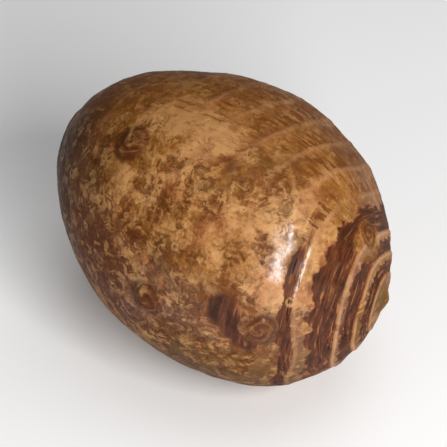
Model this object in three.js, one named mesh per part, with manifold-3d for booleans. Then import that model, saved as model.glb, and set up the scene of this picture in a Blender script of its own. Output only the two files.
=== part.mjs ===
// A taro corm lying on its side. It is a swollen stem that grew in one piece, so it is one solid.
//
// Millimetres, +Z up. +X runs along the body to the crown, where the leaves grew, and the tail is the
// end that was joined to the parent plant. The origin is on the surface that the corm rests on, under
// the middle of its bounding box.
//
// A place on the skin has two angles: "ring", from 0 at the crown's tip to 180 at the tail's, and
// "around" the growth axis, from 0 at the top and on towards -Y. Angles are in degrees.

import * as THREE from 'three';
import { mergeVertices } from 'three/addons/utils/BufferGeometryUtils.js';
import Module from 'manifold-3d';

// The body is an ellipsoid that leans down towards its crown.
const HALF_LENGTH = 40.5;
const HALF_WIDTH = 30.5;
const HALF_HEIGHT = 32;
const CROWN_DROOP = 7;
const RESTING_FLAT_DEPTH = 0.8;

// The growth axis points to one side of the body's own length, so the crown sits off centre.
const GROWTH_YAW = 19;

// The rings crowd towards the crown on the body's far side, centred at this angle around.
const CROWDED_SIDE = -95;
const CROWDED_NEAR = 60;
const CROWDED_FAR = 125;
const CROWDING = 0.24;

// Broad swells and hollows: where each one's middle points, and how far it stands out or in.
const SWELL_SPREAD = 0.14;
const SWELLS = [
  { at: [-0.85, -0.2, 0.49], height: 1.5 },
  { at: [-0.54, 0.36, 0.75], height: -1.4 },
  { at: [0.02, 0.75, 0.66], height: 0.8 },
  { at: [-0.76, -0.65, 0], height: -0.7 },
  { at: [0.74, -0.1, -0.66], height: 1 },
  { at: [0.86, 0.45, -0.26], height: -1 },
  { at: [0.86, -0.4, 0.33], height: 0.6 },
];

// Ring scars, where leaf bases were fixed: a low ridge round the body at each of these ring angles.
const RING_SCARS = [13, 23, 33, 51, 62, 73, 84, 96, 108, 121, 135, 150];
const SCAR_HEIGHT_AT_CROWN = 0.45;
const SCAR_HEIGHT_AT_TAIL = 0.15;
const SCAR_HALF_WIDTH = 1.4;

// The tail scar, where the corm broke off its parent: a shallow dish with a rim. Its angles are from
// the tail's tip.
const TAIL_SCAR_ANGLE = 9;
const TAIL_SCAR_DEPTH = 1;
const TAIL_RIM_ANGLE = 12;
const TAIL_RIM_HALF_WIDTH = 3;
const TAIL_RIM_HEIGHT = 0.5;

// The crown's tip, a low bud.
const CROWN_BUD_ANGLE = 7;
const CROWN_BUD_HEIGHT = 0.9;

// Side buds (eyes): ring angle, angle around, radius across the skin, and height above it.
const BUDS = [
  { ring: 61, around: 80, radius: 3.8, height: 0.7 },
  { ring: 98, around: 87, radius: 3.9, height: 0.6 },
  { ring: 36, around: 4, radius: 2.6, height: 0.5 },
  { ring: 118, around: 29, radius: 4, height: 0.6 },
  { ring: 84, around: -100, radius: 3.7, height: 0.7 },
  { ring: 121, around: -60, radius: 3.6, height: 0.6 },
  { ring: 51, around: 175, radius: 3.4, height: 0.6 },
  { ring: 108, around: 165, radius: 3.6, height: 0.6 },
];

const BUD_SUNK = 0.6;

const SEGMENTS_AROUND = 48;
const WIDEST_ROW = 8;

const { degToRad, lerp, smoothstep } = THREE.MathUtils;

const bodySize = new THREE.Vector3(HALF_LENGTH, HALF_WIDTH, HALF_HEIGHT);
const droop = new THREE.Matrix4().makeRotationY(degToRad(CROWN_DROOP));

// The crown's tip is where the skin faces straight along the growth axis.
const towardsCrown = new THREE.Vector3(Math.cos(degToRad(GROWTH_YAW)), Math.sin(degToRad(GROWTH_YAW)), 0)
  .multiply(bodySize)
  .normalize();
const towardsTop = new THREE.Vector3(0, 0, 1);
const towardsSide = new THREE.Vector3().crossVectors(towardsCrown, towardsTop);

// How far a place belongs to the side where the rings crowd, from 0 to 1.
function crowded(around) {
  const turn = THREE.MathUtils.euclideanModulo(around - CROWDED_SIDE + 180, 360) - 180;
  return 1 - smoothstep(Math.abs(turn), CROWDED_NEAR, CROWDED_FAR);
}

// Height of the ring scars, the tail scar and the crown bud above the plain body. The ring scars are
// worn away underneath, where the corm rests.
function relief(ring, outwards) {
  const fromTail = 180 - ring;
  const dish = -TAIL_SCAR_DEPTH * (1 - smoothstep(fromTail, TAIL_SCAR_ANGLE / 2, TAIL_SCAR_ANGLE));
  const rim = TAIL_RIM_HEIGHT * Math.max(0, 1 - Math.abs(fromTail - TAIL_RIM_ANGLE) / TAIL_RIM_HALF_WIDTH);
  const bud = CROWN_BUD_HEIGHT * (1 - smoothstep(ring, 0, CROWN_BUD_ANGLE));
  const scars = RING_SCARS.map((scar) => Math.max(0, 1 - Math.abs(ring - scar) / SCAR_HALF_WIDTH));
  const scarHeight = lerp(SCAR_HEIGHT_AT_CROWN, SCAR_HEIGHT_AT_TAIL, ring / 180);
  const worn = smoothstep(-outwards.z, 0.85, 0.95);
  return dish + rim + bud + scarHeight * Math.max(...scars) * (1 - worn);
}

// The point of a unit ball that stands for a ring angle and an angle around.
function ballPoint(ring, around) {
  const shrink = CROWDING * (1 - (ring / 180) ** 2) * crowded(around);
  const polar = degToRad(ring * (1 - shrink));
  const turn = degToRad(around);
  const point = towardsCrown.clone().multiplyScalar(Math.cos(polar));
  point.addScaledVector(towardsTop, Math.sin(polar) * Math.cos(turn));
  return point.addScaledVector(towardsSide, Math.sin(polar) * Math.sin(turn));
}

// The point of the skin at a ring angle and an angle around.
function skinPoint(ring, around) {
  const point = ballPoint(ring, around).multiply(bodySize).applyMatrix4(droop);
  const outwards = point.clone().normalize();
  let height = relief(ring, outwards);
  for (const swell of SWELLS) {
    const middle = new THREE.Vector3(...swell.at).normalize();
    height += swell.height * Math.exp((outwards.dot(middle) - 1) / SWELL_SPREAD);
  }
  return point.addScaledVector(outwards, height);
}

// Rows of points from crown to tail: three on each ring scar, and enough between for a round body.
function rowAngles() {
  const fixed = [0, CROWN_BUD_ANGLE / 2, CROWN_BUD_ANGLE];
  for (const scar of RING_SCARS) {
    fixed.push(scar - SCAR_HALF_WIDTH, scar, scar + SCAR_HALF_WIDTH);
  }
  const rimEdge = TAIL_RIM_ANGLE + TAIL_RIM_HALF_WIDTH;
  const tailAngles = [rimEdge, TAIL_RIM_ANGLE, TAIL_SCAR_ANGLE, TAIL_SCAR_ANGLE / 2, 0];
  fixed.push(...tailAngles.map((angle) => 180 - angle));

  const rows = [0];
  for (let i = 1; i < fixed.length; i += 1) {
    const gap = fixed[i] - fixed[i - 1];
    const steps = Math.ceil(gap / WIDEST_ROW);
    for (let step = 1; step <= steps; step += 1) {
      rows.push(fixed[i - 1] + (gap * step) / steps);
    }
  }
  return rows;
}

// A sphere's grid of points, laid on the skin.
function bodyGeometry() {
  const rows = rowAngles();
  const geometry = new THREE.SphereGeometry(1, SEGMENTS_AROUND, rows.length - 1);
  const points = geometry.attributes.position;
  for (let i = 0; i < points.count; i += 1) {
    const row = Math.floor(i / (SEGMENTS_AROUND + 1));
    const column = (i % (SEGMENTS_AROUND + 1)) % SEGMENTS_AROUND;
    const point = skinPoint(rows[row], (360 * column) / SEGMENTS_AROUND);
    points.setXYZ(i, point.x, point.y, point.z);
  }
  return geometry;
}

// A bud is a squashed ball that faces straight out of the skin and is sunk in it, so that only its cap
// shows.
function budGeometry({ ring, around, radius, height }) {
  const outwards = ballPoint(ring, around).divide(bodySize).applyMatrix4(droop).normalize();
  const upright = new THREE.Quaternion().setFromUnitVectors(new THREE.Vector3(0, 0, 1), outwards);
  const halfThickness = height / (1 - BUD_SUNK);
  const ballRadius = radius / Math.sqrt(1 - BUD_SUNK ** 2);
  const middle = skinPoint(ring, around).addScaledVector(outwards, -BUD_SUNK * halfThickness);
  const geometry = new THREE.SphereGeometry(1, 20, 12);
  geometry.rotateX(Math.PI / 2);
  geometry.scale(ballRadius, ballRadius, halfThickness);
  geometry.applyQuaternion(upright);
  geometry.translate(middle.x, middle.y, middle.z);
  return geometry;
}

const wasm = await Module();
wasm.setup();

function solidFrom(geometry) {
  geometry.deleteAttribute('normal');
  geometry.deleteAttribute('uv');
  const merged = mergeVertices(geometry);
  const mesh = new wasm.Mesh({
    numProp: 3,
    vertProperties: new Float32Array(merged.attributes.position.array),
    triVerts: new Uint32Array(merged.index.array),
  });
  return new wasm.Manifold(mesh);
}

function geometryFrom(solid) {
  const mesh = solid.getMesh();
  const geometry = new THREE.BufferGeometry();
  geometry.setAttribute('position', new THREE.BufferAttribute(mesh.vertProperties, 3));
  geometry.setIndex(new THREE.BufferAttribute(mesh.triVerts, 1));
  return geometry;
}

let corm = solidFrom(bodyGeometry());
for (const bud of BUDS) {
  corm = corm.add(solidFrom(budGeometry(bud)));
}

// The flat that the corm rests on, cut across its lowest place.
const CUTTER = 100;
const whole = geometryFrom(corm);
whole.computeBoundingBox();
const ground = new THREE.BoxGeometry(CUTTER, CUTTER, CUTTER);
ground.translate(0, 0, whole.boundingBox.min.z + RESTING_FLAT_DEPTH - CUTTER / 2);
corm = corm.subtract(solidFrom(ground));

// The origin goes on the resting flat's level, under the middle of the box.
const cormGeometry = geometryFrom(corm);
cormGeometry.computeBoundingBox();
const middle = cormGeometry.boundingBox.getCenter(new THREE.Vector3());
cormGeometry.translate(-middle.x, -middle.y, -cormGeometry.boundingBox.min.z);
cormGeometry.computeVertexNormals();

const skin = new THREE.MeshStandardMaterial({ color: 0x8f5e36, roughness: 0.55, metalness: 0 });
const cormMesh = new THREE.Mesh(cormGeometry, skin);
cormMesh.name = 'taro_corm';

const group = new THREE.Group();
group.add(cormMesh);

export default group;
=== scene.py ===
import math
import random

import bmesh
import bpy
import numpy as np
from mathutils import Matrix, Vector


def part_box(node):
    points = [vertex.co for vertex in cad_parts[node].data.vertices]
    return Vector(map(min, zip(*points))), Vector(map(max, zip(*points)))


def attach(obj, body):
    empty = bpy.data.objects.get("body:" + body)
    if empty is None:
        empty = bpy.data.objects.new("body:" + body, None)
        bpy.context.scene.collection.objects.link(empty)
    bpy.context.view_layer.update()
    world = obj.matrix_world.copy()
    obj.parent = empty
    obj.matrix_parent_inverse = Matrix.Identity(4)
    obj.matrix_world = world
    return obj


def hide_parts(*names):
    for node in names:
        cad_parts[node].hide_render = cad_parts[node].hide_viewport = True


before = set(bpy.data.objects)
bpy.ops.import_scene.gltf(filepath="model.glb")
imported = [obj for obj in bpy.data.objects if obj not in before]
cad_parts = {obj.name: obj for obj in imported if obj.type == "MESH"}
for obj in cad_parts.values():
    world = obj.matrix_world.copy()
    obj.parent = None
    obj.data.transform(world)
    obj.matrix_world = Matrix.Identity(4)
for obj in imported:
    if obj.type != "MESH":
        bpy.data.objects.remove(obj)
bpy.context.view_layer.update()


# ---------------------------------------------------------------------------------------------------
# The corm's skin: a swollen stem, grown in one piece, under a thin corky skin. Leaf bases were fixed
# round it in rings, and each left a pale ridge with a dark, fibrous band. Side buds, root scars, the
# crown's tip and the scar where it broke off the parent plant are all part of the same skin.
# ---------------------------------------------------------------------------------------------------

MM = 0.001
HALF_SIZE = np.array([40.5, 30.5, 32.0]) * MM
CROWN_DROOP = math.radians(7)
GROWTH_YAW = math.radians(19)

# The rings crowd towards the crown on the body's far side. Angles are in degrees: the ring angle
# runs from 0 at the crown's tip to 180 at the tail, and the angle around is 0 on top.
CROWDED_SIDE = -95
CROWDED_NEAR = 60
CROWDED_FAR = 125
CROWDING = 0.24

# Broad swells and hollows: where each points, and how far it stands out in millimetres.
SWELL_SPREAD = 0.14
SWELLS = [
    ((-0.85, -0.2, 0.49), 1.5),
    ((-0.54, 0.36, 0.75), -1.4),
    ((0.02, 0.75, 0.66), 0.8),
    ((-0.76, -0.65, 0), -0.7),
    ((0.74, -0.1, -0.66), 1.0),
    ((0.86, 0.45, -0.26), -1.0),
    ((0.86, -0.4, 0.33), 0.6),
]

# Each ring scar: its ring angle, and how far the dark band on its tail side reaches.
RING_BANDS = [
    (13, 7.5),
    (23, 8.3),
    (33, 14.0),
    (51, 6.0),
    (62, 8.5),
    (73, 9.0),
    (84, 8.0),
    (96, 8.0),
    (108, 8.0),
    (121, 8.0),
    (135, 7.0),
    (150, 6.0),
]
LAST_CROWN_SCAR = 51

# Where the last crown scar's ridge is broken, and where its band is thin or worn, as angles around.
LAST_SCAR_GAP = 2
LAST_BAND_THIN_PLACE = 26
LAST_BAND_WORN_PLACE = -35

# The body turns to the crown's blunt cone at a soft shoulder.
SHOULDER_RING = 63
SHOULDER_SPREAD = 11
SHOULDER_HEIGHT = 0.6

# Side buds: ring angle, angle around, radius in millimetres, and the side of the dark rim, in
# degrees from the crown's side.
BUDS = [
    (61, 80, 3.8, 35),
    (98, 87, 3.9, 180),
    (36, 4, 2.6, -60),
    (118, 29, 4.0, 120),
    (84, -100, 3.7, 20),
    (121, -60, 3.6, 150),
    (51, 175, 3.4, 0),
    (108, 165, 3.6, 90),
]

# Root scars: ring angle, angle around, radius in millimetres. The first few are the large ones, and
# the small ones are strewn behind the crown.
ROOT_SCARS = [(92.4, 60, 0.8), (53, 64, 0.9), (111, 58, 0.6), (76, 36, 0.6), (128, 76, 0.7)]
SMALL_SCAR_COUNT = 44
SMALL_SCAR_FIRST_RING = 66
SMALL_SCAR_RING_SPAN = 100
SMALL_SCAR_RADIUS = 0.3
SMALL_SCAR_RADIUS_SPAN = 0.25
chance = random.Random(5)
for _ in range(SMALL_SCAR_COUNT):
    ring = SMALL_SCAR_FIRST_RING + SMALL_SCAR_RING_SPAN * chance.random()
    around = 360 * chance.random() - 180
    radius = SMALL_SCAR_RADIUS + SMALL_SCAR_RADIUS_SPAN * chance.random()
    ROOT_SCARS.append((ring, around, radius))

# Where the rings are pinched together, as ring angle, angle around, radius in millimetres and
# strength, and by how many degrees.
PINCH_PLACE = (50, 96, 9, 1.0)
PINCH_ANGLE = 3.4

# The rings wander in broad and fine waves: how far in degrees, and the waves' size in metres.
BROAD_WAVE_REACH = 0.8
BROAD_WAVE_SIZE = 13 * MM
FINE_WAVE_REACH = 0.3
FINE_WAVE_SIZE = 4.5 * MM

# Where the dark bands are worn off, where scraps of them are left, and where the skin is paler,
# redder, greener or darker than elsewhere: ring angle, angle around, radius in millimetres, strength.
# Some pale places are a painted sheen round the highlight, and some dark ones are painted shade.
BARE_PLACES = [
    (32.5, 6, 3.4, 1.0),
    (33.5, 16, 2.6, 0.9),
    (53, 3, 4.0, 1.0),
    (40, -130, 5.0, 0.9),
    (27, 168, 4.0, 0.9),
    (53, -95, 4.5, 0.8),
    (38, 140, 4.0, 0.6),
]
SHEATH_PLACES = [
    (73, 76, 6.8, 0.95),
    (63, 88, 5.0, 0.85),
]
# The pale places from ring angle 57 to 86 and from 54 to 86 around lie round the highlight: paler skin
# with a painted sheen of the highlight on it. The other pale places are paler skin.
PALE_AND_SHEEN_PLACES = [
    (104, 12, 9, 0.7),
    (93, 16, 7, 0.6),
    (57, 18, 6, 0.9),
    (68, 58, 7, 0.5),
    (66, -8, 7, 0.7),
    (71, 38, 9, 0.7),
    (57, 62, 5, 0.6),
    (78, 54, 6, 0.9),
    (86, 66, 6, 0.9),
    (58, 86, 3, 0.8),
    (112, 52, 7, 0.4),
    (119, 12, 9, 0.8),
    (124, 36, 10, 0.9),
    (142, 30, 8, 0.6),
    (70, -130, 12, 0.7),
    (110, 140, 14, 0.6),
]
RUSSET_PLACES = [
    (76, 80, 7, 1.0),
    (116, 88, 8, 0.8),
    (99, 96, 8, 0.7),
    (130, 78, 10, 0.7),
    (106, -28, 9, 0.7),
    (88, -30, 7, 0.6),
    (140, -14, 10, 0.9),
    (69, 20, 4, 0.5),
    (120, -120, 14, 0.8),
    (85, 150, 12, 0.7),
]
OLIVE_PLACES = [
    (88, 112, 12, 0.9),
    (62, 118, 14, 0.8),
    (98, 86, 3, 0.5),
    (8, 90, 12, 1.0),
    (36, 4, 3, 0.8),
    (110, -160, 16, 0.7),
]
# The dark places near the tail, from ring angle 142 to 166, are painted shade that darkens the skin
# towards the outline. The others darken the skin in patches.
DARK_AND_SHADED_PLACES = [
    (10, 70, 9, 0.35),
    (77, 78, 5, 0.7),
    (148, -20, 12, 1.0),
    (152, 24, 9, 0.8),
    (148, 62, 11, 1.0),
    (142, 96, 14, 0.8),
    (166, 50, 12, 0.6),
    (86, 122, 14, 0.5),
    (52, 122, 12, 0.4),
]

droop = np.array(Matrix.Rotation(CROWN_DROOP, 3, "Y"))
towards_crown = np.array([math.cos(GROWTH_YAW), math.sin(GROWTH_YAW), 0]) * HALF_SIZE
towards_crown /= np.linalg.norm(towards_crown)
towards_top = np.array([0.0, 0.0, 1.0])
towards_side = np.cross(towards_crown, towards_top)


def smoothstep(x, low, high):
    """0 up to the low value, 1 from the high value on, and smooth between."""
    t = np.clip((x - low) / (high - low), 0, 1)
    return t * t * (3 - 2 * t)


def turn_between(a, b):
    """The angle between two places around the growth axis, in degrees, from 0 to 180."""
    return np.abs((a - b + 180) % 360 - 180)


def plain_body(ring, around):
    """Points of the smooth body, and the directions straight out of it, at these two angles."""
    crowded = 1 - smoothstep(turn_between(around, CROWDED_SIDE), CROWDED_NEAR, CROWDED_FAR)
    shrink = CROWDING * (1 - (ring / 180) ** 2) * crowded
    polar = np.radians(ring * (1 - shrink))[:, None]
    turn = np.radians(around)[:, None]
    ball = (
        np.cos(polar) * towards_crown
        + np.sin(polar) * np.cos(turn) * towards_top
        + np.sin(polar) * np.sin(turn) * towards_side
    )
    points = (ball * HALF_SIZE) @ droop.T
    normals = (ball / HALF_SIZE) @ droop.T
    normals /= np.linalg.norm(normals, axis=1)[:, None]
    outwards = points / np.linalg.norm(points, axis=1)[:, None]
    rise = np.zeros(len(points))
    for direction, height in SWELLS:
        middle = np.array(direction) / np.linalg.norm(direction)
        rise += height * MM * np.exp((outwards @ middle - 1) / SWELL_SPREAD)
    return points + outwards * rise[:, None], normals


def body_point(ring, around):
    return plain_body(np.array([float(ring)]), np.array([float(around)]))[0][0]


# The body's middle, from the CAD node's box: the node has the same plain body.
low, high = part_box("taro_corm")
rings, turns = np.meshgrid(np.linspace(0, 180, 90), np.linspace(-180, 180, 120))
body_points = plain_body(rings.ravel(), turns.ravel())[0]
body_middle = np.array([
    (low.x + high.x) / 2 - (body_points[:, 0].min() + body_points[:, 0].max()) / 2,
    (low.y + high.y) / 2 - (body_points[:, 1].min() + body_points[:, 1].max()) / 2,
    high.z - body_points[:, 2].max(),
])


def chance_at(x, y, z, seed):
    """A repeatable random number from -1 to 1 for each place of a whole-number grid."""
    n = x * 73856093 ^ y * 19349663 ^ z * 83492791 ^ (seed * 50331653 + 12289)
    n = (n ^ n >> 13) * 1274126177 & 0x7FFFFFFF
    n = (n ^ n >> 15) * 60493 & 0x7FFFFFFF
    return (n >> 7 & 0xFFFF) / 32767.5 - 1


def noise_at(points, size, seed, octaves=1):
    """Smooth noise from about -1 to 1, with features of this size in metres."""
    total = np.zeros(len(points))
    for octave in range(octaves):
        scaled = points * 2**octave / size
        corner = np.floor(scaled).astype(np.int64)
        part = scaled - corner
        ease = part * part * part * (part * (part * 6 - 15) + 10)
        for dx, dy, dz in np.ndindex(2, 2, 2):
            x, y, z = (corner + (dx, dy, dz)).T
            weight = np.prod(np.where((dx, dy, dz), ease, 1 - ease), axis=1)
            slope = [chance_at(x, y, z, 3 * (seed + octave) + axis) for axis in range(3)]
            total += weight * np.sum(np.stack(slope, 1) * (part - (dx, dy, dz)), axis=1) * 1.5 / 2**octave
    return total


# The skin's mean radii, round the body and from crown to tail, which give the grain its scale.
GRAIN_ROUND_RADIUS = 31 * MM
GRAIN_LONG_RADIUS = 36 * MM


def grain_of(ring, around):
    """A vector that follows the skin, in metres: round the body in X and Y, crown to tail in Z."""
    turn = np.radians(around)
    crosswise = GRAIN_ROUND_RADIUS * np.cos(turn)
    upright = GRAIN_ROUND_RADIUS * np.sin(turn)
    return np.stack([crosswise, upright, GRAIN_LONG_RADIUS * np.radians(ring)], 1)


# The rings stay clear along the whole corm on one side, centred at this angle around. They are fully
# clear up to the first angle from it, and worn away beyond the second.
CLEAR_SIDE = -80
FULLY_CLEAR = 72
WORN_AWAY = 118

# The scars behind the crown get fainter from the first of these ring angles to the second. Their
# ridges and bands have the worn strength, more on the clear side, and lose a share near the tail.
FADE_START = 73
FADE_END = 120
WORN_RIDGE = 0.06
CLEAR_RIDGE_GAIN = 0.44
TAIL_RIDGE_LOSS = 0.5
WORN_BAND = 0.04
CLEAR_BAND_GAIN = 0.46
TAIL_BAND_LOSS = 0.45


def far_side(around):
    """How much a place is on the side where the rings stay clear, from 0 to 1."""
    return 1 - smoothstep(turn_between(around, CLEAR_SIDE), FULLY_CLEAR, WORN_AWAY)


def tail_fade(scar):
    """0 for the scars near the crown, and up to 1 for those near the tail."""
    return smoothstep(np.float64(scar), FADE_START, FADE_END)


def ridge_strength(scar, around):
    """How clear each ring's pale ridge is at an angle around, from 0 to 1."""
    if scar < LAST_CROWN_SCAR:
        return np.full(len(around), 1.0)
    if scar == LAST_CROWN_SCAR:
        return 0.45 * smoothstep(turn_between(around, LAST_SCAR_GAP), 4, 16)
    clear = WORN_RIDGE + CLEAR_RIDGE_GAIN * far_side(around)
    return clear * (1 - TAIL_RIDGE_LOSS * tail_fade(scar))


def band_strength(scar, around):
    """How dark each ring's band still is at an angle around, from 0 to 1."""
    if scar < LAST_CROWN_SCAR:
        return np.full(len(around), 1.0)
    if scar == LAST_CROWN_SCAR:
        thin = 1 - smoothstep(turn_between(around, LAST_BAND_THIN_PLACE), 8, 20)
        worn_off = 1 - smoothstep(turn_between(around, LAST_BAND_WORN_PLACE), 18, 42)
        return 0.95 - 0.3 * thin - 0.45 * worn_off
    clear = WORN_BAND + CLEAR_BAND_GAIN * far_side(around)
    return clear * (1 - TAIL_BAND_LOSS * tail_fade(scar))


def spots(points, places):
    """Soft round patches, added up."""
    total = np.zeros(len(points))
    for ring, around, radius, strength in places:
        distance = np.linalg.norm(points - body_point(ring, around), axis=1) / (radius * MM)
        total += strength * np.exp(-distance * distance)
    return np.clip(total, 0, 1)


def wave_of(points):
    """How far a real ring strays from its plain angle at these points, in degrees."""
    pinch = PINCH_ANGLE * spots(points, [PINCH_PLACE])
    broad = BROAD_WAVE_REACH * noise_at(points, BROAD_WAVE_SIZE, 3)
    return pinch + broad + FINE_WAVE_REACH * noise_at(points, FINE_WAVE_SIZE, 7)


def hump(distance, half_width):
    """1 in the middle, falling smoothly to nearly 0 at twice the half width."""
    return np.exp(-((distance / half_width) ** 2))


# Turns of a bud's coiled scales, from its middle to its radius.
COIL_TURNS = 1.9


def bud_marks(points):
    """Near a side bud: how near as a share of its radius, its coiled scales, and its dark rim."""
    near = np.full(len(points), 9.0)
    coil = np.zeros(len(points))
    rim = np.zeros(len(points))
    stray = noise_at(points, 0.003, 23)
    for ring, around, radius, rim_side in BUDS:
        middle = body_point(ring, around)
        crownwards = body_point(ring - 1, around) - middle
        crownwards /= np.linalg.norm(crownwards)
        sidewards = body_point(ring, around + 1) - middle
        sidewards /= np.linalg.norm(sidewards)
        offset = (points - middle) / (radius * MM)
        distance = np.linalg.norm(offset, axis=1) * (1 + 0.12 * stray)
        turn = np.arctan2(offset @ sidewards, offset @ crownwards)
        inside = distance < near
        scales = np.sin(2 * math.pi * COIL_TURNS * distance - turn + 2.2 * stray)
        scales *= 1 - smoothstep(distance, 0.75, 1.15)
        one_sided = 0.5 + 0.5 * np.cos(turn - math.radians(rim_side))
        one_rim = hump(distance - 1.02, 0.2) * one_sided
        near = np.where(inside, distance, near)
        coil = np.where(inside, scales, coil)
        rim = np.where(inside, one_rim, rim)
    return near, coil, rim


def root_marks(points):
    """Distance to the nearest root scar, as a share of its radius."""
    near = np.full(len(points), 9.0)
    for ring, around, radius in ROOT_SCARS:
        distance = np.linalg.norm(points - body_point(ring, around), axis=1) / (radius * MM)
        near = np.minimum(near, distance)
    return near * (1 + 0.25 * noise_at(points, 0.0012, 29))


# Lumps and pimples all over the skin: their sizes in metres.
LUMP_SIZE = 12 * MM
PIMPLE_SIZE = 3 * MM

# How far each feature stands out of the plain body, or in, in millimetres.
LUMP_HEIGHT = 0.3
PIMPLE_HEIGHT = 0.09
RIDGE_HEIGHT = 0.28
BAND_DEPTH = 0.06
TOOTH_HEIGHT = 0.05
BUD_HEIGHT = 0.55
COIL_HEIGHT = 0.13
BUD_RIM_DEPTH = 0.22
ROOT_RIM_HEIGHT = 0.08
ROOT_PIT_DEPTH = 0.2
TAIL_DISH_DEPTH = 1.0
TAIL_RIM_HEIGHT = 0.5
CROWN_TIP_HEIGHT = 0.9

# In degrees of ring angle: half a pale ridge's width, the tip's reach from the crown end, and the
# dish's edge and the rim's middle from the tail end, with half the rim's width.
RIDGE_HALF_WIDTH = 0.8
CROWN_TIP_ANGLE = 7
TAIL_DISH_ANGLE = 9
TAIL_RIM_ANGLE = 12
TAIL_RIM_HALF_WIDTH = 2.2


def skin_shape(ring, around):
    """The finished skin at these two angles: its points, and what the skin is there."""
    points, normals = plain_body(ring, around)
    grain = grain_of(ring, around)
    true_ring = ring + wave_of(points)
    teeth = noise_at(grain * [1, 1, 0.15], 0.0019, 1)
    steps = noise_at(grain * [1, 1, 0.3], 0.0042, 5)
    worn = noise_at(points, 0.006, 31)

    scar_line = np.zeros(len(ring))
    band = np.zeros(len(ring))
    for scar, reach in RING_BANDS:
        line = hump(true_ring - scar, RIDGE_HALF_WIDTH) * ridge_strength(scar, around)
        scar_line = np.maximum(scar_line, line * smoothstep(worn, -0.9, -0.1))
        ragged_end = scar + reach * (0.9 + 0.11 * teeth + 0.25 * steps)
        inside = smoothstep(true_ring, scar + 0.5, scar + 1.2)
        inside *= 1 - smoothstep(true_ring, ragged_end - 0.6, ragged_end + 0.6)
        band = np.maximum(band, inside * band_strength(scar, around))
    band *= 1 - spots(points, BARE_PLACES)
    band = np.maximum(band, spots(points, SHEATH_PLACES))

    bud_near, coil, bud_rim = bud_marks(points)
    root_near = root_marks(points)
    on_bud = 1 - smoothstep(bud_near, 0.8, 1.2)
    height = LUMP_HEIGHT * noise_at(points, LUMP_SIZE, 11, 2)
    height += PIMPLE_HEIGHT * noise_at(points, PIMPLE_SIZE, 17, 2)
    height += SHOULDER_HEIGHT * hump(true_ring - SHOULDER_RING, SHOULDER_SPREAD)
    height += RIDGE_HEIGHT * scar_line * (1 - on_bud)
    height += TOOTH_HEIGHT * teeth * (0.4 + band) - BAND_DEPTH * band
    height += BUD_HEIGHT * hump(bud_near, 0.75) + COIL_HEIGHT * coil - BUD_RIM_DEPTH * bud_rim
    height += ROOT_RIM_HEIGHT * hump(root_near - 1, 0.4) - ROOT_PIT_DEPTH * hump(root_near, 0.6)
    from_tail = 180 - ring
    height -= TAIL_DISH_DEPTH * (1 - smoothstep(from_tail, TAIL_DISH_ANGLE / 2, TAIL_DISH_ANGLE))
    height += TAIL_RIM_HEIGHT * hump(from_tail - TAIL_RIM_ANGLE, TAIL_RIM_HALF_WIDTH)
    height += CROWN_TIP_HEIGHT * (1 - smoothstep(ring, 0, CROWN_TIP_ANGLE))

    placed = points + normals * (height * MM)[:, None] + body_middle
    placed[:, 2] = np.maximum(placed[:, 2], low.z)
    marks = {
        "ring": true_ring / 180,
        "scar_line": scar_line * (1 - on_bud),
        "band": band * (1 - on_bud),
        "coil": coil,
        "bud_near": bud_near,
        "bud_rim": bud_rim,
        "root_near": root_near,
        "far": far_side(around),
        "pale": spots(points, PALE_AND_SHEEN_PLACES),
        "russet": spots(points, RUSSET_PLACES),
        "olive": spots(points, OLIVE_PLACES),
        "dark": spots(points, DARK_AND_SHADED_PLACES),
    }
    return placed, normals, grain, marks


# The mesh: columns from crown to tail, and rows round the body. The rows lie closer together towards
# the crown by this share, because the finest detail is there.
COLUMNS = 440
ROWS = 218
ROW_CROWDING = 0.3

bm = bmesh.new()
bmesh.ops.create_uvsphere(bm, u_segments=COLUMNS, v_segments=ROWS, radius=1)
ball = np.array([v.co for v in bm.verts])
share = np.arccos(np.clip(ball[:, 2], -1, 1)) / math.pi
ring = 180 * (share + ROW_CROWDING * (share * share - share))
around = np.degrees(np.arctan2(ball[:, 1], ball[:, 0]))
placed, normals, grain, marks = skin_shape(ring, around)
for vertex, place in zip(bm.verts, placed):
    vertex.co = place
for face in bm.faces:
    face.smooth = True
mesh = bpy.data.meshes.new("corm_skin")
bm.to_mesh(mesh)
bm.free()
skin = bpy.data.objects.new("corm_skin", mesh)
bpy.context.scene.collection.objects.link(skin)


def store_marks(mesh, marks, grain):
    for name, values in marks.items():
        attribute = mesh.attributes.new(name, "FLOAT", "POINT")
        attribute.data.foreach_set("value", values.astype(np.float32))
    attribute = mesh.attributes.new("grain", "FLOAT_VECTOR", "POINT")
    attribute.data.foreach_set("vector", grain.astype(np.float32).ravel())


store_marks(mesh, marks, grain)


def colour(red, green, blue):
    """A linear colour from the usual 0 to 255 values."""
    values = [value / 255 for value in (red, green, blue)]
    return [v / 12.92 if v <= 0.04045 else ((v + 0.055) / 1.055) ** 2.4 for v in values] + [1]


def add(tree, kind, inputs=(), **settings):
    """A new shader node. An input's value is a number, a colour or another node's output."""
    made = tree.nodes.new("ShaderNode" + kind)
    for name, value in settings.items():
        setattr(made, name, value)
    for name, value in dict(inputs).items():
        if isinstance(value, bpy.types.NodeSocket):
            tree.links.new(value, made.inputs[name])
        else:
            made.inputs[name].default_value = value
    return made


def mark(tree, name):
    return add(tree, "Attribute", attribute_name=name).outputs["Fac"]


def sums(tree, operation, a, b=0.0, c=0.0):
    return add(tree, "Math", {0: a, 1: b, 2: c}, operation=operation).outputs[0]


def times(tree, *values):
    product = values[0]
    for value in values[1:]:
        product = sums(tree, "MULTIPLY", product, value)
    return product


def swing(tree, value, amount, base):
    """The base value, moved up or down by this amount as a noise value leaves its middle of 0.5."""
    return sums(tree, "MULTIPLY_ADD", sums(tree, "SUBTRACT", value, 0.5), amount, base)


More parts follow.
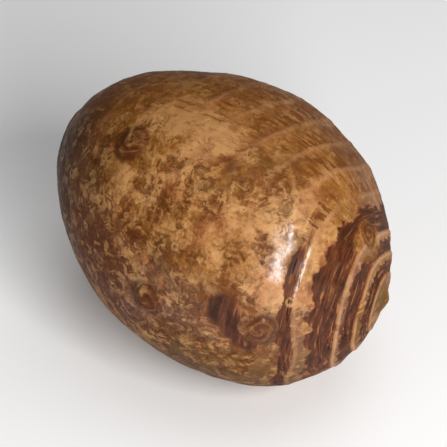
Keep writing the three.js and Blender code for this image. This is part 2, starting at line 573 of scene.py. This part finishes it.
def fade(tree, value, start, end):
    """0 where the value is at start, 1 at end, and smooth between."""
    inputs = {"Value": value, "From Min": start, "From Max": end}
    return add(tree, "MapRange", inputs, interpolation_type="SMOOTHSTEP").outputs["Result"]


def blend(tree, factor, under, over):
    inputs = {"Factor": factor, "A": under, "B": over}
    return add(tree, "Mix", inputs, data_type="RGBA").outputs["Result"]


def line_along(tree, value, middle, half_width, core):
    """1 where a noise value is close to the middle, fading out: a thin line that follows the noise."""
    away = sums(tree, "ABSOLUTE", sums(tree, "SUBTRACT", value, middle))
    return fade(tree, away, half_width, core)


def noise(tree, vector, scale, detail, roughness, distortion=0.0):
    inputs = {
        "Vector": vector,
        "Scale": scale,
        "Detail": detail,
        "Roughness": roughness,
        "Distortion": distortion,
    }
    return add(tree, "TexNoise", inputs).outputs["Fac"]


def ramp(tree, value, stops):
    """A colour ramp: each stop is its place from 0 to 1 and its colour."""
    made = add(tree, "ValToRGB", {"Fac": value})
    for _ in stops[2:]:
        made.color_ramp.elements.new(0.5)
    for element, (place, tint) in zip(made.color_ramp.elements, stops):
        element.position = place
        element.color = tint
    return made.outputs["Color"]


# Streaks in the grain, one set from crown to tail and one set round the corm, as values near 0.5.
LONG_STRETCH = (1, 1, 0.28)
ROUND_STRETCH = (0.14, 0.14, 1)
streaks = bpy.data.node_groups.new("grain_streaks", "ShaderNodeTree")
streaks.interface.new_socket("Scale", in_out="INPUT", socket_type="NodeSocketFloat")
streaks.interface.new_socket("Lengthwise", in_out="OUTPUT", socket_type="NodeSocketFloat")
streaks.interface.new_socket("Round", in_out="OUTPUT", socket_type="NodeSocketFloat")
inputs = streaks.nodes.new("NodeGroupInput")
outputs = streaks.nodes.new("NodeGroupOutput")
along = add(streaks, "Attribute", attribute_name="grain").outputs["Vector"]
for name, stretch, distortion in (("Lengthwise", LONG_STRETCH, 0.3), ("Round", ROUND_STRETCH, 0.5)):
    stretched = add(streaks, "Mapping", {"Vector": along, "Scale": stretch}).outputs["Vector"]
    streak = noise(streaks, stretched, inputs.outputs["Scale"], 2.5, 0.6, distortion)
    streaks.links.new(streak, outputs.inputs[name])


def grain_streaks(tree, scale):
    node = add(tree, "Group", node_tree=streaks)
    node.inputs["Scale"].default_value = scale
    return node.outputs["Lengthwise"], node.outputs["Round"]


# Streaks to a metre, in the skin's colour and in its finest relief.
STREAK_SCALE = 900
FINE_STREAK_SCALE = 1700

TAN_DEEP = colour(92, 51, 15)
TAN = colour(134, 84, 33)
TAN_PALE = colour(178, 130, 80)
OLIVE = colour(104, 77, 28)
RUSSET = colour(98, 48, 12)
UMBER_AND_SHADE = colour(54, 28, 9)
SPECK = colour(72, 34, 6)
FLECK = colour(192, 143, 90)
BAND_DARK = colour(48, 20, 6)
BAND_RED = colour(82, 38, 16)
THREAD = colour(138, 86, 52)
HATCH = colour(116, 65, 20)
GOLD = colour(140, 86, 30)
ROSE = colour(152, 88, 54)
RIDGE = colour(170, 122, 84)
CORK = colour(98, 72, 42)

material = bpy.data.materials.new("corm_skin")
material.use_nodes = True
tree = material.node_tree
shader = tree.nodes["Principled BSDF"]
place = add(tree, "TexCoord").outputs["Object"]
tone = noise(tree, place, 80, 3, 0.55, 0.3)
blotch = noise(tree, place, 210, 6, 0.66, 0.6)
breaks = noise(tree, place, 260, 3, 0.55, 0.4)
tracks = noise(tree, place, 480, 4, 0.68, 0.5)
curls = noise(tree, place, 380, 2, 0.5, 0.6)
fine = noise(tree, place, 1500, 3, 0.6)
lengthwise, roundwise = grain_streaks(tree, STREAK_SCALE)
fine_lengthwise, _ = grain_streaks(tree, FINE_STREAK_SCALE)
ring_place = mark(tree, "ring")
far = mark(tree, "far")
near_crown = fade(tree, ring_place, 0.35, 0.29)

# The plain skin: tan, from deep to pale, with paler, greener and darker places. The pale places
# round the highlight are partly a painted sheen, and the dark places near the tail are painted shade.
lit = sums(tree, "MULTIPLY_ADD", mark(tree, "pale"), 0.2, swing(tree, tone, 1.5, 0.49))
lit = sums(tree, "MULTIPLY_ADD", mark(tree, "dark"), -0.25, lit)
lit = sums(tree, "MULTIPLY_ADD", near_crown, -0.04, lit)
lit = swing(tree, blotch, -0.6, swing(tree, fine, 0.5, lit))
skin_colour = ramp(tree, lit, [(0.28, TAN_DEEP), (0.5, TAN), (0.74, TAN_PALE)])
hue = noise(tree, place, 130, 2, 0.5, 0.3)
skin_colour = blend(tree, times(tree, fade(tree, hue, 0.46, 0.34), 0.4), skin_colour, OLIVE)
skin_colour = blend(tree, times(tree, fade(tree, hue, 0.52, 0.64), 0.35), skin_colour, ROSE)
green = times(tree, mark(tree, "olive"), fade(tree, breaks, 0.3, 0.6))
skin_colour = blend(tree, times(tree, green, 0.8), skin_colour, OLIVE)
# Painted shade near the tail, and darker patches elsewhere: the dark places blend to umber.
skin_colour = blend(tree, times(tree, mark(tree, "dark"), 0.65), skin_colour, UMBER_AND_SHADE)

# Russet blotches, more of them in the russet places.
lean = sums(tree, "MULTIPLY_ADD", mark(tree, "russet"), 0.2, blotch)
lean = sums(tree, "MULTIPLY_ADD", mark(tree, "pale"), -0.08, lean)
lean = sums(tree, "MULTIPLY_ADD", far, -0.09, lean)
skin_colour = blend(tree, times(tree, fade(tree, lean, 0.47, 0.66), 0.75), skin_colour, RUSSET)

# Dark tracks, pits and curls, few of them near the crown, and pale flecks and curls between them.
crowds = fade(tree, lean, 0.3, 0.55)
lines = times(tree, line_along(tree, tracks, 0.5, 0.045, 0.01), fade(tree, breaks, 0.46, 0.58), 0.7)
pits = fade(tree, tracks, 0.53, 0.63)
dark_curls = times(tree, line_along(tree, curls, 0.58, 0.08, 0.02), 0.8)
pale_curls = times(tree, line_along(tree, curls, 0.42, 0.08, 0.02), 0.65)
dark_marks = sums(tree, "MAXIMUM", sums(tree, "MAXIMUM", lines, pits), dark_curls)
dark_marks = times(tree, dark_marks, crowds, sums(tree, "MULTIPLY_ADD", near_crown, -0.85, 1.0))
flecks = sums(tree, "MAXIMUM", fade(tree, tracks, 0.46, 0.35), pale_curls)
flecks = times(tree, flecks, fade(tree, breaks, 0.62, 0.4))
skin_colour = blend(tree, times(tree, flecks, 0.6), skin_colour, FLECK)
skin_colour = blend(tree, times(tree, dark_marks, 0.85), skin_colour, SPECK)

# The side where the rings stay clear is more golden, with softer marks and short brown dashes.
skin_colour = blend(tree, times(tree, far, 0.4), skin_colour, GOLD)
dashes = times(tree, fade(tree, lengthwise, 0.52, 0.62), fade(tree, breaks, 0.38, 0.52))
skin_colour = blend(tree, times(tree, dashes, far, 0.6), skin_colour, RUSSET)

# The dark bands, streaked round the corm, and the pale ridge of each ring scar. A weak band is only
# a comb of brown streaks.
band = mark(tree, "band")
edge = swing(tree, lengthwise, 0.6, swing(tree, tracks, 0.4, band))
weak = fade(tree, band, 0.85, 0.5)
gaps = fade(tree, lengthwise, 0.57, 0.47)
comb = sums(tree, "SUBTRACT", 1.0, times(tree, weak, gaps))
band_cover = times(tree, fade(tree, edge, 0.3, 0.5), fade(tree, band, 0.03, 0.2), comb)
threads = [(0.4, BAND_DARK), (0.52, BAND_RED), (0.58, BAND_RED), (0.66, THREAD)]
band_colour = ramp(tree, roundwise, threads)
band_colour = blend(tree, times(tree, fade(tree, tracks, 0.48, 0.6), 0.4), band_colour, BAND_DARK)
band_colour = blend(tree, times(tree, weak, 0.8), band_colour, HATCH)
skin_colour = blend(tree, times(tree, band_cover, 0.95), skin_colour, band_colour)
ridge = times(tree, mark(tree, "scar_line"), fade(tree, breaks, 0.24, 0.44))
skin_colour = blend(tree, times(tree, ridge, 0.9), skin_colour, RIDGE)

# Side buds: coiled scales, dark in their hollows, and a dark rim on one side.
coil = mark(tree, "coil")
coil_cover = times(tree, fade(tree, coil, -0.15, -0.75), fade(tree, breaks, 0.35, 0.5), 0.75)
on_bud = fade(tree, mark(tree, "bud_near"), 1.15, 0.85)
skin_colour = blend(tree, times(tree, on_bud, fade(tree, blotch, 0.3, 0.5), 0.75), skin_colour, BAND_RED)
skin_colour = blend(tree, coil_cover, skin_colour, SPECK)
skin_colour = blend(tree, times(tree, fade(tree, coil, 0.5, 0.95), 0.18), skin_colour, FLECK)
skin_colour = blend(tree, times(tree, mark(tree, "bud_rim"), 0.95), skin_colour, SPECK)

# Root scars: a dark pit in a pale rim. The tail scar is bare cork.
root = mark(tree, "root_near")
skin_colour = blend(tree, times(tree, fade(tree, root, 1.4, 1.0), 0.4), skin_colour, FLECK)
skin_colour = blend(tree, times(tree, fade(tree, root, 0.75, 0.4), 0.7), skin_colour, SPECK)
cork_colour = blend(tree, fade(tree, blotch, 0.42, 0.6), CORK, SPECK)
cork = fade(tree, ring_place, 0.93, 0.95)
skin_colour = blend(tree, cork, skin_colour, cork_colour)
tree.links.new(skin_colour, shader.inputs["Base Color"])

# A waxy skin, shinier towards the crown: dull in the tracks, the bands, the buds and the cork, and at
# the limbs, where a rough skin shadows its own sheen.
worn = sums(tree, "MAXIMUM", sums(tree, "MAXIMUM", dark_marks, band_cover), on_bud)
dullness = sums(tree, "MULTIPLY_ADD", worn, 0.1, sums(tree, "MULTIPLY_ADD", cork, 0.35, 0.48))
tree.links.new(swing(tree, fine, 0.2, dullness), shader.inputs["Roughness"])
waxy = times(tree, fade(tree, ring_place, 0.66, 0.48), fade(tree, mark(tree, "olive"), 0.7, 0.2))
waxy = sums(tree, "MULTIPLY_ADD", cork, -0.1, sums(tree, "MULTIPLY_ADD", waxy, 0.9, 0.1))
waxy = times(tree, waxy, swing(tree, fine, 1.5, 0.95))
facing = add(tree, "LayerWeight", {"Blend": 0.5}).outputs["Facing"]
waxy = times(tree, waxy, sums(tree, "MULTIPLY_ADD", worn, -0.7, 1.0), fade(tree, facing, 0.85, 0.4))
tree.links.new(waxy, shader.inputs["Coat Weight"])
shader.inputs["Coat Roughness"].default_value = 0.25
shader.inputs["Coat IOR"].default_value = 1.48
shader.inputs["Specular IOR Level"].default_value = 0.08
relief = sums(tree, "MULTIPLY_ADD", dark_marks, -0.8, times(tree, fine, 0.35))
relief = sums(tree, "MULTIPLY_ADD", flecks, 0.4, relief)
relief = sums(tree, "MULTIPLY_ADD", fine_lengthwise, 0.5, relief)
relief = sums(tree, "MULTIPLY_ADD", times(tree, roundwise, band_cover), 1.2, relief)
bump = add(tree, "Bump", {"Height": relief, "Strength": 0.45, "Distance": 0.2 * MM})
tree.links.new(bump.outputs["Normal"], shader.inputs["Normal"])
mesh.materials.append(material)
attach(skin, "root")
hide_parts("taro_corm")


# ---------------------------------------------------------------------------------------------------
# Leaf-base fibres: what is left of the leaf sheaths that were fixed at each ring scar. They are thin,
# flat, pointed threads that grew with the skin, and lie pressed on the dark bands round the corm.
# ---------------------------------------------------------------------------------------------------

# A fibre may start at each step of this spacing round a band, where the band is stronger than the
# weakest one that holds fibres. The chance grows with the band's strength.
FIBRE_SPACING = 0.5 * MM
WEAKEST_BAND = 0.55
FIBRE_CHANCE = 0.7

FIBRE_HALF_THICKNESS = 0.04 * MM
FIBRE_SHORTEST = 2.5 * MM
FIBRE_LENGTH_SPAN = 4.5 * MM
FIBRE_SIDES = 4
FIBRE_STEPS = 7

# In degrees of ring angle: the narrowest fibre and how much wider they get, how far a fibre slants
# over its length, and the gaps to its band's two edges. Fibres reach over this share of the band.
FIBRE_WIDTH = 0.3
FIBRE_WIDTH_SPAN = 0.4
FIBRE_SLANT = (-1.6, 0.8)
CROWN_EDGE_GAP = 1.4
TAIL_EDGE_GAP = 1.0
FIBRE_REACH = 0.85

chance = random.Random(11)
fibre_places = []
for scar, reach in RING_BANDS:
    edge = plain_body(np.full(360, float(scar)), np.arange(360.0))[0]
    girth = np.linalg.norm(edge - np.roll(edge, 1, axis=0), axis=1).sum()
    count = int(girth / FIBRE_SPACING)
    turns = np.array([360 * (i + chance.random()) / count - 180 for i in range(count)])
    middles = plain_body(np.full(count, scar + reach * 0.6), turns)[0]
    strengths = band_strength(scar, turns) * (1 - spots(middles, BARE_PLACES))
    for turn, strength in zip(turns, strengths):
        if chance.random() < FIBRE_CHANCE * (strength - WEAKEST_BAND):
            length = (FIBRE_SHORTEST + FIBRE_LENGTH_SPAN * chance.random()) / girth * 360
            room = FIBRE_REACH * reach - CROWN_EDGE_GAP - TAIL_EDGE_GAP
            start = scar + CROWN_EDGE_GAP + room * chance.random()
            width = FIBRE_WIDTH + FIBRE_WIDTH_SPAN * chance.random()
            slant = chance.uniform(*FIBRE_SLANT)
            fibre_places.append((start, turn, length, width, slant, chance.random()))

bm = bmesh.new()
bmesh.ops.create_uvsphere(bm, u_segments=FIBRE_SIDES, v_segments=FIBRE_STEPS, radius=1)
one_fibre = bpy.data.meshes.new("one_fibre")
bm.to_mesh(one_fibre)
for _ in fibre_places[1:]:
    bm.from_mesh(one_fibre)
bpy.data.meshes.remove(one_fibre)
ball = np.array([v.co for v in bm.verts]).reshape(len(fibre_places), -1, 3)
start, turn, length, width, slant, shade = np.array(fibre_places).T[:, :, None]
root_wave = wave_of(plain_body(start.ravel(), turn.ravel())[0])[:, None]
share = (1 + ball[:, :, 2]) / 2
ring = start - root_wave + ball[:, :, 1] * width / 2 + slant * share
around = turn + length * (share - 0.5)
placed, normals, grain, marks = skin_shape(ring.ravel(), around.ravel())
placed += normals * (ball[:, :, 0].ravel() * FIBRE_HALF_THICKNESS)[:, None]
placed[:, 2] = np.maximum(placed[:, 2], low.z)
for vertex, place in zip(bm.verts, placed):
    vertex.co = place
for face in bm.faces:
    face.smooth = True
mesh = bpy.data.meshes.new("leaf_base_fibres")
bm.to_mesh(mesh)
bm.free()
fibres = bpy.data.objects.new("leaf_base_fibres", mesh)
bpy.context.scene.collection.objects.link(fibres)
store_marks(mesh, {"shade": np.repeat(shade.ravel(), ball.shape[1]), "far": marks["far"]}, grain)

material = bpy.data.materials.new("leaf_base_fibre")
material.use_nodes = True
tree = material.node_tree
shader = tree.nodes["Principled BSDF"]
_, roundwise = grain_streaks(tree, FINE_STREAK_SCALE)
fibre_shade = swing(tree, roundwise, 1.0, mark(tree, "shade"))
dark_fibre = ramp(tree, fibre_shade, [(0.2, BAND_DARK), (0.6, BAND_RED), (1.0, THREAD)])
brown_fibre = ramp(tree, fibre_shade, [(0.0, RUSSET), (0.6, TAN_DEEP), (1.0, TAN)])
tree.links.new(blend(tree, mark(tree, "far"), dark_fibre, brown_fibre), shader.inputs["Base Color"])
tree.links.new(swing(tree, roundwise, 0.3, 0.6), shader.inputs["Roughness"])
shader.inputs["Specular IOR Level"].default_value = 0.15
bump = add(tree, "Bump", {"Height": roundwise, "Strength": 0.4, "Distance": 0.1 * MM})
tree.links.new(bump.outputs["Normal"], shader.inputs["Normal"])
mesh.materials.append(material)
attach(fibres, "root")


# ---------------------------------------------------------------------------------------------------
# The stage: a plain pale floor, and the camera that looks down on the corm. A long soft light stands
# beside the camera, and a broad one hangs overhead and leaves no highlight.
# ---------------------------------------------------------------------------------------------------

FLOOR_SIZE = 4.0
bm = bmesh.new()
bmesh.ops.create_grid(bm, x_segments=1, y_segments=1, size=FLOOR_SIZE / 2)
mesh = bpy.data.meshes.new("floor")
bm.to_mesh(mesh)
bm.free()
floor = bpy.data.objects.new("floor", mesh)
bpy.context.scene.collection.objects.link(floor)
material = bpy.data.materials.new("pale_floor")
material.use_nodes = True
shader = material.node_tree.nodes["Principled BSDF"]
shader.inputs["Base Color"].default_value = (0.92, 0.92, 0.92, 1)
shader.inputs["Roughness"].default_value = 0.9
mesh.materials.append(material)

VIEW_AZIMUTH = math.radians(41)
VIEW_ELEVATION = math.radians(40)
LENS = 200
CAMERA_DISTANCE = 540 * MM
TARGET_DROP = 0.5 * MM
target = (low + high) / 2 - Vector((0, 0, TARGET_DROP))
back = Vector((
    math.sin(VIEW_AZIMUTH) * math.cos(VIEW_ELEVATION),
    -math.cos(VIEW_AZIMUTH) * math.cos(VIEW_ELEVATION),
    math.sin(VIEW_ELEVATION),
))
right = Vector((math.cos(VIEW_AZIMUTH), math.sin(VIEW_AZIMUTH), 0))
up = back.cross(right)


def look_from(thing, place, at):
    thing.location = place
    thing.rotation_euler = (at - place).to_track_quat("-Z", "Y").to_euler()


camera = bpy.data.objects.new("camera", bpy.data.cameras.new("camera"))
camera.data.lens = LENS
camera.data.clip_start = 0.01
look_from(camera, target + back * CAMERA_DISTANCE, target)
bpy.context.scene.collection.objects.link(camera)
bpy.context.scene.camera = camera


def soft_light(name, place, width, height, lean, watts, glossy=True):
    light = bpy.data.lights.new(name, "AREA")
    light.shape = "RECTANGLE"
    light.size = width
    light.size_y = height
    light.energy = watts
    lamp = bpy.data.objects.new(name, light)
    lamp.visible_glossy = glossy
    look_from(lamp, place, target)
    lamp.rotation_euler.rotate_axis("Z", lean)
    bpy.context.scene.collection.objects.link(lamp)


KEY_DISTANCE = 0.7
KEY_LEAN = math.radians(52)
key_place = target + (back * 0.94 + right * 0.32 - up * 0.14) * KEY_DISTANCE
overhead_place = target + Vector((0.1, 0.25, 1.0))
soft_light("key", key_place, width=0.56, height=0.09, lean=KEY_LEAN, watts=6.4)
soft_light("overhead", overhead_place, width=0.9, height=0.9, lean=0, watts=3.1, glossy=False)
world = bpy.data.worlds.new("studio")
world.use_nodes = True
world.node_tree.nodes["Background"].inputs["Color"].default_value = (1, 1, 1, 1)
world.node_tree.nodes["Background"].inputs["Strength"].default_value = 0.16
bpy.context.scene.world = world
bpy.context.scene.view_settings.view_transform = "Standard"
